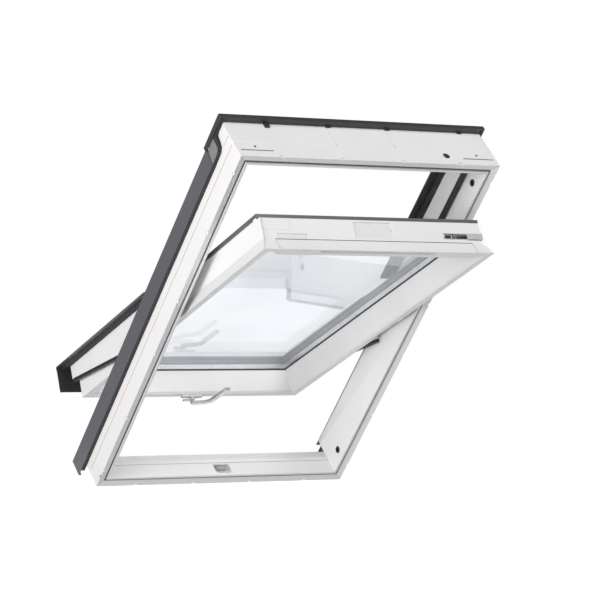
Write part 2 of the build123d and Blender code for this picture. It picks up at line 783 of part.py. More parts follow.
# Stiles: flared above the pivot, plain beside it, and flanged below it where the flange
# rises in a long slope from the bottom corner to the pivot
flange_top = flange_level - flange_rise * (middle_low - sash_rise)
for side, x_sign in sides:
    with BuildPart() as stile:
        sash_upright(upper_section, x_sign, middle_high, sash_top)
        sash_upright(middle_section, x_sign, middle_low, middle_high)
        sash_upright(lower_section, x_sign, sash_rise, middle_low)
        split(bisect_by=mitre(x_sign * sash_half, sash_top, 1), keep=Keep.TOP)
        split(bisect_by=mitre(x_sign * sash_half, sash_rise, -1), keep=Keep.TOP)
        sash_across(cover_step, sash_half, top=True, mode=Mode.SUBTRACT)
        flange = [(sash_level(flange_level), sash_rise), (sash_level(sash_body), sash_rise)]
        flange += [(sash_level(sash_body), middle_low), (sash_level(flange_top), middle_low)]
        at_side(flange, x_sign, side_gap - flange_reach, flange_reach)
        corner = [(sash_level(flange_level), sash_rise), (sash_level(sash_body), sash_rise)]
        corner += [(sash_level(sash_body), sash_rise - flange_reach)]
        corner += [(sash_level(flange_level), sash_rise - flange_reach)]
        at_side(corner, x_sign, side_gap - flange_reach, flange_reach)
        if x_sign > 0:
            extrude(channel.sketch, amount=bolt_channel, dir=(0, 1, 0), mode=Mode.SUBTRACT)
    hand_over(stile, f"sash_stile_{side}", sash_place)

    # Black gasket along the room side of the flange
    with BuildPart() as rail_seal:
        low = sash_level(flange_level)
        high = sash_level(flange_top)
        strip = [(low, sash_rise - flange_reach), (low, sash_rise), (high, middle_low)]
        strip += [(high - rail_seal_thickness, middle_low)]
        strip += [(low - rail_seal_thickness, sash_rise)]
        strip += [(low - rail_seal_thickness, sash_rise - flange_reach)]
        at_side(strip, x_sign, side_gap - flange_reach, rail_seal_width)
    hand_over(rail_seal, f"rail_seal_{side}", sash_place)

    # Pivot plate of the sash, with the pin that turns in the frame's plate
    with BuildPart() as sash_hinge:
        near = side_gap + middle_reach - hinge_plate
        plate = [(hinge_front, pivot_height - hinge_low)]
        plate += [(sash_level(sash_body), pivot_height - hinge_low)]
        plate += [(pivot_depth, pivot_height - hinge_ear_radius)]
        plate += [(pivot_depth, pivot_height + hinge_ear_radius)]
        plate += [(sash_level(sash_body), pivot_height + hinge_high)]
        plate += [(hinge_front, pivot_height + hinge_high)]
        at_side(plate, x_sign, near, hinge_plate)
        with BuildSketch(Plane.YZ.offset(x_sign * (half_width - near))) as ear:
            with Locations((pivot_depth, pivot_height)):
                Circle(hinge_ear_radius)
        extrude(ear.sketch, amount=hinge_plate, dir=(-x_sign, 0, 0))
        with BuildSketch(Plane.YZ.offset(x_sign * (half_width - near))) as pin:
            with Locations((pivot_depth, pivot_height)):
                Circle(hinge_pin_radius)
        extrude(pin.sketch, amount=near - lip_reach - fit_gap, dir=(x_sign, 0, 0))
    hand_over(sash_hinge, f"sash_hinge_{side}", sash_place)

# Double glazing: two panes on a metal spacer, edge sealed, between two gaskets
inner_face = glass_level + gasket_thickness
cavity = inner_face + pane_thickness
pane_in = rebate_reach + pane_gap
for name, level, thickness, outer_in, inner_in in (
    ("inner_gasket", glass_level, gasket_thickness, pane_in, gasket_reach),
    ("inner_pane", inner_face, pane_thickness, pane_in, 0),
    ("edge_seal", cavity, spacer_depth, pane_in, seal_reach),
    ("spacer_bar", cavity, spacer_depth, seal_reach, spacer_reach),
    ("outer_pane", cavity + spacer_depth, pane_thickness, pane_in, 0),
    ("outer_gasket", glass_back - gasket_thickness, gasket_thickness, pane_in, outer_gasket_reach),
):
    with BuildPart() as layer:
        ring_at(level, thickness, outer_in, inner_in)
    hand_over(layer, name, sash_place)

# Setting blocks that centre the glazing in its rebate
with BuildPart() as setting_blocks:
    with BuildSketch(Plane.XZ.offset(-sash_level(inner_face))) as blocks:
        for x_way in (-1, 1):
            for z_way in (-1, 1):
                across_in = sash_half - rebate_reach - pane_gap / 2
                up_in = sash_height / 2 - rebate_reach - pane_gap / 2
                with Locations((x_way * block_place, sash_middle + z_way * up_in)):
                    Rectangle(block_length, pane_gap)
                with Locations((x_way * across_in, sash_middle + z_way * 2 * block_place)):
                    Rectangle(pane_gap, block_length)
    extrude(blocks.sketch, amount=2 * pane_thickness + spacer_depth, dir=(0, 1, 0))
hand_over(setting_blocks, "setting_blocks", sash_place)

# Covers of the upper sash: bent sheet with an outer skirt and an inner lip on the gasket.
# The top one is a shallow cap set back from the face of the rail, and the side ones butt it.
skirt_low = sash_cover_level - sash_cover_skirt
lip_low = glass_back + fit_gap
top_sheet = sash_cover_level - sheet
cover_section = [
    (cover_in, skirt_low),
    (cover_in, sash_cover_level),
    (sash_cover_lap, sash_cover_level),
    (sash_cover_lap, lip_low),
    (sash_cover_lap - sheet, lip_low),
    (sash_cover_lap - sheet, top_sheet),
    (cover_in + sheet, top_sheet),
    (cover_in + sheet, skirt_low),
]
with BuildPart() as sash_cover_top:
    cover_half = sash_half - cover_in
    over_body = sash_body + fit_gap
    roof_sheet = [(top_cover_in, over_body), (top_cover_in, sash_cover_level)]
    roof_sheet += [(sash_cover_lap, sash_cover_level), (sash_cover_lap, over_body)]
    sash_across(roof_sheet, cover_half, top=True)
    under = [(top_cover_in + sheet, sash_body), (top_cover_in + sheet, top_sheet)]
    under += [(sash_cover_lap - sheet, top_sheet), (sash_cover_lap - sheet, sash_body)]
    sash_across(under, cover_half - sheet, top=True, mode=Mode.SUBTRACT)
    front = [(top_cover_in, top_step_level + fit_gap), (top_cover_in, over_body)]
    front += [(top_cover_in + sheet, over_body), (top_cover_in + sheet, top_step_level + fit_gap)]
    sash_across(front, cover_half, top=True)
    inner_lip = [(sash_cover_lap - sheet, lip_low), (sash_cover_lap - sheet, over_body)]
    inner_lip += [(sash_cover_lap, over_body), (sash_cover_lap, lip_low)]
    sash_across(inner_lip, sash_half - sash_cover_lap, top=True)
hand_over(sash_cover_top, "sash_cover_top", sash_place)

lower_top = pivot_height - lower_cover_gap
lower_low = sash_rise + bottom_cover_lap
cover_in_low = side_gap - lower_cover_out
lower_cover_section = [
    (-cover_in_low, lower_cover_level),
    (-cover_in_low, lower_cover_level + sheet),
    (sash_cover_lap, lower_cover_level + sheet),
    (sash_cover_lap, lip_low),
    (sash_cover_lap - sheet, lip_low),
    (sash_cover_lap - sheet, lower_cover_level),
]
pivot_cap_section = [
    (middle_reach, sash_body + fit_gap),
    (middle_reach, sash_cover_level),
    (sash_cover_lap, sash_cover_level),
    (sash_cover_lap, lip_low),
    (sash_cover_lap - sheet, lip_low),
    (sash_cover_lap - sheet, top_sheet),
    (middle_reach + sheet, top_sheet),
    (middle_reach + sheet, sash_body + fit_gap),
]
foam_in = side_gap - foam_start
foam_low = side_cover_top - sash_depth + fit_gap
foam_section = [
    (-foam_in, foam_low),
    (-foam_in, lower_cover_level),
    (0, lower_cover_level),
    (0, sash_body),
    (-flange_reach, sash_body),
    (-flange_reach, foam_low),
]
for side, x_sign in sides:
    with BuildPart() as upper_cover:
        cover_end = sash_top - sash_cover_lap - fit_gap
        sash_upright(cover_section, x_sign, middle_high + fit_gap, cover_end)
    hand_over(upper_cover, f"sash_cover_{side}", sash_place)

    with BuildPart() as pivot_cap:
        sash_upright(pivot_cap_section, x_sign, lower_top + fit_gap, middle_high)
    hand_over(pivot_cap, f"pivot_cap_{side}", sash_place)

    with BuildPart() as lower_cover:
        sash_upright(lower_cover_section, x_sign, lower_low + fit_gap, lower_top)
    hand_over(lower_cover, f"lower_cover_{side}", sash_place)

    # Black foam between the flange of the stile and the wide lower cover
    with BuildPart() as cover_foam:
        sash_upright(foam_section, x_sign, sash_rise - flange_reach, middle_low)
    hand_over(cover_foam, f"cover_foam_{side}", sash_place)

# Bottom cover: full width, folded down at its lower edge, with a black skirt behind the fold
with BuildPart() as bottom_cover:
    fold = lower_cover_level - bottom_cover_fold
    bottom_profile = [
        (-bottom_cover_drop, fold),
        (-bottom_cover_drop, lower_cover_level + sheet),
        (bottom_cover_lap, lower_cover_level + sheet),
        (bottom_cover_lap, lower_cover_level),
        (sheet - bottom_cover_drop, lower_cover_level),
        (sheet - bottom_cover_drop, fold),
    ]
    sash_across(bottom_profile, half_width - lower_cover_out)
    inner_lip = [
        (sash_cover_lap - sheet, lip_low),
        (sash_cover_lap - sheet, lower_cover_level),
        (sash_cover_lap, lower_cover_level),
        (sash_cover_lap, lip_low),
    ]
    sash_across(inner_lip, sash_half - sash_cover_lap)
hand_over(bottom_cover, "bottom_cover", sash_place)

with BuildPart() as bottom_skirt:
    behind = sheet - bottom_cover_drop
    front = behind + skirt_thickness
    skirt = [(behind, skirt_level), (behind, lower_cover_level)]
    skirt += [(front, lower_cover_level), (front, skirt_level)]
    sash_across(skirt, half_width - lower_cover_out)
    pad = [(front, sash_body), (front, lower_cover_level)]
    pad += [(-flange_reach, lower_cover_level), (-flange_reach, sash_body)]
    sash_across(pad, half_width - foam_start)
hand_over(bottom_skirt, "bottom_skirt", sash_place)

# Control flap: the white bar across the top, hinged on two pins, with a finger groove
with BuildPart() as control_flap:
    flap_section = [
        (0, 0),
        (flap_lip, 0),
        (flap_reach, edge_bevel),
        (flap_reach, flap_axis_level),
        (flap_axis_in, flare_level - flap_gap),
        (top_flare, flare_level - flap_gap),
    ]
    sash_across(flap_section, flap_half, top=True)
    with BuildSketch(Plane.XZ.offset(-sash_depth)) as grip:
        with Locations((0, sash_top - grip_in)):
            SlotOverall(grip_length, grip_width)
    extrude(grip.sketch, amount=grip_depth, dir=(0, 1, 0), mode=Mode.SUBTRACT)
    for side, x_sign in sides:
        with BuildSketch(Plane.YZ.offset(x_sign * flap_half)) as flap_pin:
            with Locations((sash_level(flap_axis_level), pin_height)):
                Circle(flap_pin_radius)
        extrude(flap_pin.sketch, amount=flap_pin_length, dir=(x_sign, 0, 0))
hand_over(control_flap, "control_flap", sash_place)

# Housing of the slide bolt: an open trough with a bored block at its outer end
bolt_height = sash_top - bolt_axis_in
bolt_depth = sash_level(bolt_axis_level)
bolt_plane = Plane.YZ.offset(bolt_start + fit_gap)
with BuildPart() as bolt_housing:
    outer_half = bolt_channel / 2 - fit_gap
    housing_end = sash_half - side_flare
    housing_run = housing_end - bolt_start - fit_gap
    top = bolt_axis_in - top_flare
    with BuildSketch(bolt_plane) as housing_block:
        with Locations((bolt_depth, bolt_height - outer_half)):
            Rectangle(2 * outer_half, outer_half + top, align=(Align.CENTER, Align.MIN))
    extrude(housing_block.sketch, amount=housing_run, dir=(1, 0, 0))
    with BuildSketch(bolt_plane.offset(sheet)) as trough:
        with Locations((bolt_depth, bolt_height)):
            Circle(bolt_knob_radius + fit_gap)
            Rectangle(
                2 * (bolt_knob_radius + fit_gap), 2 * top, align=(Align.CENTER, Align.MIN)
            )
    extrude(trough.sketch, amount=bolt_trough, dir=(1, 0, 0), mode=Mode.SUBTRACT)
    with BuildSketch(bolt_plane.offset(sheet)) as bore:
        with Locations((bolt_depth, bolt_height)):
            Circle(bolt_radius + pin_gap)
    extrude(bore.sketch, amount=housing_run, dir=(1, 0, 0), mode=Mode.SUBTRACT)
hand_over(bolt_housing, "bolt_housing", sash_place)

# Slide bolt: a round rod with an end collar and a knob for the fingers
with BuildPart() as slide_bolt:
    for start, length, radius in (
        (sash_half - bolt_tail_in, bolt_tail_in - bolt_tip_in, bolt_radius),
        (sash_half - bolt_tail_in, bolt_collar_length, bolt_knob_radius),
        (sash_half - bolt_knob_in, bolt_knob_length, bolt_knob_radius),
    ):
        with BuildSketch(Plane.YZ.offset(start)) as disc:
            with Locations((bolt_depth, bolt_height)):
                Circle(radius)
        extrude(disc.sketch, amount=length, dir=(1, 0, 0))
    chamfer(slide_bolt.faces().sort_by(Axis.X)[-1].edges(), bolt_nose)
hand_over(slide_bolt, "slide_bolt", sash_place)

# Handle base on the bottom rail
spindle_height = sash_rise + handle_in
with BuildPart() as handle_base:
    with BuildSketch(Plane.XZ.offset(-sash_depth)) as base_outline:
        with Locations((handle_across, spindle_height)):
            RectangleRounded(handle_base_length, handle_base_width, plate_corner)
    extrude(base_outline.sketch, amount=handle_base_height, dir=(0, -1, 0))
    with BuildSketch(Plane.XZ.offset(-sash_depth + handle_base_height)) as boss:
        with Locations((handle_across, spindle_height)):
            Circle(handle_base_width / 2)
    boss_height = tongue_level - tongue_thickness - handle_base_height - fit_gap
    extrude(boss.sketch, amount=boss_height, dir=(0, -1, 0))
    with BuildSketch(Plane.XZ.offset(-sash_depth)) as base_bore:
        with Locations((handle_across, spindle_height)):
            Circle(spindle_radius + pin_gap)
    extrude(base_bore.sketch, amount=handle_level, dir=(0, -1, 0), mode=Mode.SUBTRACT)
hand_over(handle_base, "handle_base", sash_place)

# Handle: spindle and hub with the locking tongue, and a bent lever held off the rail
with BuildPart() as handle:
    hub_start = sash_depth - tongue_level + tongue_thickness
    with BuildSketch(Plane.XZ.offset(-(sash_depth + spindle_depth - fit_gap))) as spindle:
        with Locations((handle_across, spindle_height)):
            Circle(spindle_radius)
    extrude(spindle.sketch, amount=spindle_depth + handle_level, dir=(0, -1, 0))
    with BuildSketch(Plane.XZ.offset(-hub_start)) as hub:
        with Locations((handle_across, spindle_height)):
            Circle(hub_radius)
            Rectangle(tongue_reach, tongue_width, align=(Align.MAX, Align.CENTER))
    extrude(hub.sketch, amount=tongue_thickness, dir=(0, -1, 0))
    grip_back = sash_depth - handle_level + handle_grip_height / 2
    with BuildSketch(Plane.XZ.offset(-hub_start)) as neck:
        with Locations((handle_across, spindle_height)):
            Circle(hub_radius)
    extrude(neck.sketch, amount=hub_start - grip_back + fit_gap, dir=(0, -1, 0))
    with BuildSketch(Plane.XZ.offset(-grip_back)) as lever:
        with BuildLine():
            start = (handle_across, spindle_height)
            bend = (handle_across + handle_cross - handle_bend, spindle_height + handle_rise)
            grip_start = (handle_across + handle_cross, spindle_height + handle_rise + handle_bend)
            tip = (handle_across + handle_cross + handle_lean, spindle_height + handle_length)
            Polyline(start, bend, grip_start, tip)
        trace(line_width=handle_grip_width)
        with Locations((handle_across, spindle_height)):
            Circle(handle_grip_width / 2)
    extrude(lever.sketch, amount=handle_grip_height, dir=(0, -1, 0))
    lever_sides = handle.faces().filter_by(Axis.Y).sort_by(Axis.Y)[0]
    fillet(lever_sides.edges(), handle_round)
hand_over(handle, "handle", sash_place)
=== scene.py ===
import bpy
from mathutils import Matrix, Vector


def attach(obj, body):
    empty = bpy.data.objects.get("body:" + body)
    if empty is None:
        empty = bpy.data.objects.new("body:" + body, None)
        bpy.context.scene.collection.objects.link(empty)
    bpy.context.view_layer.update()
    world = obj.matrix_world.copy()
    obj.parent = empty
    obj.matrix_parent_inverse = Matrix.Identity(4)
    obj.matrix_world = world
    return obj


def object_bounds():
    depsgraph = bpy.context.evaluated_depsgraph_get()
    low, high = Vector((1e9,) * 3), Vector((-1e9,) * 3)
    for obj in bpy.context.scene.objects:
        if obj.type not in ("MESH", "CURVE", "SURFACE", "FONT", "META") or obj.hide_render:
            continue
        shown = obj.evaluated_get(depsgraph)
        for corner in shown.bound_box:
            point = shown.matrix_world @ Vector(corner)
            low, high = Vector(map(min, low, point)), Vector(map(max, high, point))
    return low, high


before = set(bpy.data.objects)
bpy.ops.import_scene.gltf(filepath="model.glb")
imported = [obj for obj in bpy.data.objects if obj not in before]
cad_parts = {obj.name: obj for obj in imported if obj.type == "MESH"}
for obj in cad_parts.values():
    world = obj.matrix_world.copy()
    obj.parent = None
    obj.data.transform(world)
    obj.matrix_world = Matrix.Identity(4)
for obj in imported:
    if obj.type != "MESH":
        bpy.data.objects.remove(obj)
cad_box = [list(corner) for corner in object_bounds()]

import math
import bmesh
import bpy
from mathutils import Matrix, Vector

# Window frame: head, sill and two jambs, moulded white polyurethane over a timber core.
# The four members meet in mitres and carry a sprayed white lacquer with a faint ripple.
white_lacquer_colour = (0.93, 0.93, 0.925, 1)
white_lacquer_shade = (0.905, 0.905, 0.9, 1)


def finish(name, colour, shade, patch, gloss, spread, grain, height, metal=0.0, edge=0.0,
           run=(1, 1, 1)):
    """Surface whose colour drifts over patches, with uneven gloss, a fine grain and eased edges.

    Patch, grain, height and edge are lengths in metres; gloss and spread are roughness.
    """
    material = bpy.data.materials.new(name)
    material.use_nodes = True
    nodes, links = material.node_tree.nodes, material.node_tree.links
    shader = nodes["Principled BSDF"]
    shader.inputs["Metallic"].default_value = metal
    where = nodes.new("ShaderNodeTexCoord")
    along = nodes.new("ShaderNodeMapping")
    along.inputs["Scale"].default_value = run
    links.new(where.outputs["Object"], along.inputs["Vector"])
    clouds = nodes.new("ShaderNodeTexNoise")
    clouds.inputs["Scale"].default_value = 1 / patch
    clouds.inputs["Detail"].default_value = 4
    links.new(along.outputs["Vector"], clouds.inputs["Vector"])
    colours = nodes.new("ShaderNodeValToRGB")
    colours.color_ramp.elements[0].position = 0.35
    colours.color_ramp.elements[0].color = shade
    colours.color_ramp.elements[1].position = 0.62
    colours.color_ramp.elements[1].color = colour
    links.new(clouds.outputs["Fac"], colours.inputs["Fac"])
    links.new(colours.outputs["Color"], shader.inputs["Base Color"])
    fine = nodes.new("ShaderNodeTexNoise")
    fine.inputs["Scale"].default_value = 1 / grain
    fine.inputs["Detail"].default_value = 3
    links.new(along.outputs["Vector"], fine.inputs["Vector"])
    shine = nodes.new("ShaderNodeMapRange")
    shine.inputs["From Min"].default_value = 0.3
    shine.inputs["From Max"].default_value = 0.7
    shine.inputs["To Min"].default_value = gloss - spread
    shine.inputs["To Max"].default_value = gloss + spread
    links.new(fine.outputs["Fac"], shine.inputs["Value"])
    links.new(shine.outputs["Result"], shader.inputs["Roughness"])
    relief = nodes.new("ShaderNodeBump")
    relief.inputs["Strength"].default_value = 0.6
    relief.inputs["Distance"].default_value = height
    links.new(fine.outputs["Fac"], relief.inputs["Height"])
    if edge:
        eased = nodes.new("ShaderNodeBevel")
        eased.samples = 4
        eased.inputs["Radius"].default_value = edge
        links.new(eased.outputs["Normal"], relief.inputs["Normal"])
    links.new(relief.outputs["Normal"], shader.inputs["Normal"])
    return material


def dress(material, *nodes):
    """Gives carried-over CAD nodes their finish."""
    for node in nodes:
        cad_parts[node].material_slots[0].material = material


frame_lacquer = finish(
    "frame_lacquer", white_lacquer_colour, white_lacquer_shade,
    patch=0.16, gloss=0.34, spread=0.05, grain=0.0016, height=0.00005, edge=0.0016,
)
dress(frame_lacquer, "frame_head", "frame_sill", "frame_jamb_left", "frame_jamb_right")

# Marks on the frame: the thin fitting lines printed along its outer sides, dark fills painted as
# the shade inside the head's mould slots and dimples and the holes at the foot of the jambs, and
# a painted shadow line along the sill's step.
roof_lean = math.radians(44)
frame_place = Matrix.Rotation(roof_lean, 4, "X") @ Matrix.Translation((0, -0.052, 0))
half_width = 0.390
frame_height = 1.180
line_depth = 0.057
line_half = 0.0007
line_low, line_high = 0.012, 1.168
line_sink = 0.0008
short_line_depth = 0.087
short_line_half = 0.001
short_line_low, short_line_high = 1.139, 1.175
short_line_sink = 0.0004
print_proud = 0.00015


def settle(piece, body):
    """Lets a finished piece ride on its body with the slot of its finish."""
    bpy.context.scene.collection.objects.link(piece)
    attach(piece, body)
    return piece


def placed(name, form, place, material, body):
    """Turns a form built round the window's own axes into a finished piece in its place."""
    bmesh.ops.recalc_face_normals(form, faces=list(form.faces))
    form.transform(place)
    mesh = bpy.data.meshes.new(name)
    form.to_mesh(mesh)
    form.free()
    mesh.materials.append(material)
    return settle(bpy.data.objects.new(name, mesh), body)


def bars(name, blocks, place, ease, material, body):
    """Blocks given by two corners (across, depth, up the slope), with eased edges."""
    form = bmesh.new()
    for low, high in blocks:
        size = [high[i] - low[i] for i in range(3)]
        middle = [(high[i] + low[i]) / 2 for i in range(3)]
        block = bmesh.ops.create_cube(form, size=1)["verts"]
        bmesh.ops.scale(form, verts=block, vec=size)
        bmesh.ops.translate(form, verts=block, vec=middle)
    edges = list(form.edges)
    bmesh.ops.bevel(form, geom=edges, offset=ease, segments=2, affect="EDGES", profile=0.7)
    return placed(name, form, place, material, body)


line_red = finish(
    "fitting_line_red", (0.78, 0.30, 0.28, 1), (0.70, 0.36, 0.33, 1),
    patch=0.03, gloss=0.6, spread=0.05, grain=0.0008, height=0.00002,
)
line_blue = finish(
    "fitting_line_blue", (0.25, 0.36, 0.74, 1), (0.31, 0.41, 0.70, 1),
    patch=0.03, gloss=0.6, spread=0.05, grain=0.0008, height=0.00002,
)
red_blocks = []
blue_blocks = []
for side in (-1, 1):
    face = side * half_width
    near, far = sorted((face - side * line_sink, face + side * print_proud))
    red_blocks.append(
        ((near, line_depth - line_half, line_low), (far, line_depth + line_half, line_high))
    )
    near, far = sorted((face - side * short_line_sink, face + side * print_proud))
    blue_blocks.append(
        (
            (near, short_line_depth - short_line_half, short_line_low),
            (far, short_line_depth + short_line_half, short_line_high),
        )
    )
bars("fitting_lines", red_blocks, frame_place, 0.0001, line_red, "frame")
bars("cover_lines", blue_blocks, frame_place, 0.0001, line_blue, "frame")

# Painted shade: near-black fill standing for the dark inside the slots, dimples and jamb-foot
# holes.
hollow_shade_dark = finish(
    "hollow_shade_dark", (0.05, 0.05, 0.055, 1), (0.035, 0.035, 0.04, 1),
    patch=0.01, gloss=0.55, spread=0.08, grain=0.0006, height=0.00003,
)
slot_across, slot_half = 0.334, 0.0470
slot_near, slot_far = 0.0237, 0.0264
slot_foot, slot_crown = 1.1797, 1.1803
slots = []
for side in (-1, 1):
    middle = side * slot_across
    slots.append(
        ((middle - slot_half, slot_near, slot_foot), (middle + slot_half, slot_far, slot_crown))
    )
bars("slot_shade_strips", slots, frame_place, 0.0002, hollow_shade_dark, "frame")


def set_of_studs(name, spots, radius, low, high, place, material, body, sides=16):
    """Short round studs with eased rims; each spot is (across, depth), standing up the slope."""
    form = bmesh.new()
    for across, depth in spots:
        cone = bmesh.ops.create_cone(
            form, cap_ends=True, segments=sides, radius1=radius, radius2=radius, depth=high - low
        )
        stud = cone["verts"]
        bmesh.ops.translate(form, verts=stud, vec=(across, depth, (low + high) / 2))
    rims = [e for e in form.edges if abs(e.verts[0].co.z - e.verts[1].co.z) < 1e-6]
    ease = radius * 0.12
    bmesh.ops.bevel(form, geom=rims, offset=ease, segments=2, affect="EDGES", profile=0.7)
    return placed(name, form, place, material, body)


dimples = [(-0.335, 0.040), (0.335, 0.040)]
dimple_radius = 0.0036
dimple_foot, dimple_crown = 1.1790, 1.1804
set_of_studs(
    "dimple_shade_discs", dimples, dimple_radius, dimple_foot, dimple_crown,
    frame_place, hollow_shade_dark, "frame",
)
corner_depth, corner_height = 0.0036, 0.037
corner_radius, corner_sink, corner_proud = 0.0033, -0.0006, 0.0005
for side, label in ((-1, "left"), (1, "right")):
    side_face = Matrix.Translation((side * half_width, corner_depth, corner_height))
    outwards = Matrix.Rotation(side * math.radians(90), 4, "Y")
    set_of_studs(
        f"corner_hole_shade_{label}", [(0, 0)], corner_radius, corner_sink, corner_proud,
        frame_place @ side_face @ outwards, hollow_shade_dark, "frame",
    )

# Painted shadow: a thin grey strip along the sill's step, standing for the shadow behind the step.
step_shadow_paint = finish(
    "step_shadow_grey", (0.30, 0.30, 0.31, 1), (0.22, 0.22, 0.23, 1),
    patch=0.02, gloss=0.6, spread=0.05, grain=0.0008, height=0.00003,
)
step_half = 0.3608
step = [((-step_half, 0.0494, 0.0284), (step_half, 0.0507, 0.02915))]
bars("sill_step_shadow_line", step, frame_place, 0.0002, step_shadow_paint, "frame")

# Groove shadow strip: a dark grey strip laid in the groove round the room side of the frame, where
# the boards of the room's lining are pushed in; its grey is painted shade for the groove's depth.
# Fine parting lines cross the head.
groove_shade_grey = finish(
    "groove_shade_grey", (0.13, 0.13, 0.135, 1), (0.10, 0.10, 0.105, 1),
    patch=0.02, gloss=0.7, spread=0.06, grain=0.0009, height=0.00005,
)
groove_near, groove_far = 0.01705, 0.02295
groove_shade_front, groove_shade_back = 0.0055, 0.0119
top_near, top_far = frame_height - groove_far, frame_height - groove_near
groove_shade_blocks = []
for side in (-1, 1):
    near, far = sorted((side * (half_width - groove_near), side * (half_width - groove_far)))
    groove_shade_blocks.append(((near, groove_shade_front, groove_near), (far, groove_shade_back, top_far)))
inner_run = half_width - groove_far
groove_shade_blocks.append(((-inner_run, groove_shade_front, groove_near), (inner_run, groove_shade_back, groove_far)))
groove_shade_blocks.append(((-inner_run, groove_shade_front, top_near), (inner_run, groove_shade_back, top_far)))
bars("groove_shadow_strip", groove_shade_blocks, frame_place, 0.0004, groove_shade_grey, "frame")
parting = finish(
    "parting_line_grey", (0.66, 0.66, 0.66, 1), (0.60, 0.60, 0.60, 1),
    patch=0.02, gloss=0.4, spread=0.05, grain=0.0010, height=0.00003,
)
parting_half, parting_end = 0.0005, 0.1295
parting_foot, parting_crown = 1.1797, 1.18008
parting_lines = []
for across, start in ((-0.087, 0.063), (0.092, 0.064)):
    parting_lines.append(
        (
            (across - parting_half, start, parting_foot),
            (across + parting_half, parting_end, parting_crown),
        )
    )
bars("parting_lines", parting_lines, frame_place, 0.0001, parting, "frame")

# Small fittings let into the frame: the dished plug of the head's service hole, the white
# striker in the sill and the two black bushes that hold the slide bolt.
moulded_black = finish(
    "moulded_black", (0.035, 0.035, 0.038, 1), (0.025, 0.025, 0.028, 1),
    patch=0.02, gloss=0.42, spread=0.08, grain=0.0007, height=0.00004, edge=0.0006,
)
plug_grey = finish(
    "plug_grey", (0.085, 0.085, 0.09, 1), (0.06, 0.06, 0.064, 1),
    patch=0.02, gloss=0.45, spread=0.08, grain=0.0007, height=0.00004, edge=0.0006,
)
striker_white = finish(
    "striker_white", (0.70, 0.70, 0.70, 1), (0.62, 0.62, 0.62, 1),
    patch=0.03, gloss=0.38, spread=0.06, grain=0.0009, height=0.00003, edge=0.0006,
)
dress(moulded_black, "bolt_bushes")
dress(plug_grey, "head_plug")
dress(striker_white, "striker")

# Seals of the frame: black rubber on the stop and under the covers, and the foam band
# beside the frame. Extruded lengths, matt, with fine lines along them.
seal_rubber = finish(
    "seal_rubber", (0.030, 0.030, 0.033, 1), (0.022, 0.022, 0.024, 1),
    patch=0.05, gloss=0.62, spread=0.1, grain=0.0009, height=0.00006, edge=0.0005,
)
foam_black = finish(
    "foam_black", (0.040, 0.040, 0.044, 1), (0.026, 0.026, 0.029, 1),
    patch=0.006, gloss=0.85, spread=0.08, grain=0.0012, height=0.00025,
)
dress(seal_rubber, "stop_seal", "weather_seal")
dress(foam_black, "side_band_left", "side_band_right")

# Grey covers of the frame: roll-formed aluminium with a dark grey lacquer at the sides,
# closed by a grey plastic block under each end of the hood.
cover_lacquer = finish(
    "cover_lacquer", (0.150, 0.150, 0.168, 1), (0.132, 0.132, 0.150, 1),
    patch=0.35, gloss=0.40, spread=0.04, grain=0.0005, height=0.00003, metal=0.35, edge=0.0009,
)
block_plastic = finish(
    "block_plastic", (0.25, 0.25, 0.26, 1), (0.22, 0.22, 0.23, 1),
    patch=0.02, gloss=0.5, spread=0.06, grain=0.0008, height=0.00005, edge=0.0009,
)
dress(cover_lacquer, "side_cover_left", "side_cover_right")
dress(block_plastic, "corner_block_left", "corner_block_right")

# Hood over the head: one pressed aluminium tray in the same grey as the covers, drawn in a much
# darker copy of that grey as painted shade, held by black clips that bite on the head and by two
# screws at each end.
hood_painted_shade_lacquer = finish(
    "hood_painted_shade_lacquer", (0.056, 0.055, 0.064, 1), (0.046, 0.045, 0.053, 1),
    patch=0.35, gloss=0.40, spread=0.04, grain=0.0005, height=0.00003, metal=0.2, edge=0.0009,
)
dress(hood_painted_shade_lacquer, "head_cover")
dress(moulded_black, "head_clips")


def node_tree(name, inputs, outcome):
    """Empty node tree with named inputs: the tree, socket identifiers, its input and output."""
    tree = bpy.data.node_groups.new(name, "GeometryNodeTree")
    identifiers = {}
    for label, kind, start in inputs:
        socket = tree.interface.new_socket(label, in_out="INPUT", socket_type=kind)
        if start is not None:
            socket.default_value = start
        identifiers[label] = socket.identifier
    tree.interface.new_socket(outcome, in_out="OUTPUT", socket_type="NodeSocketGeometry")
    return tree, identifiers, tree.nodes.new("NodeGroupInput"), tree.nodes.new("NodeGroupOutput")


def made_real(tree, instances, material, outcome):
    """Ends a node tree: its instances become mesh and take their material."""
    real = tree.nodes.new("GeometryNodeRealizeInstances")
    tree.links.new(instances, real.inputs["Geometry"])
    coloured = tree.nodes.new("GeometryNodeSetMaterial")
    tree.links.new(real.outputs["Geometry"], coloured.inputs["Geometry"])
    tree.links.new(material, coloured.inputs["Material"])
    tree.links.new(coloured.outputs["Geometry"], outcome)


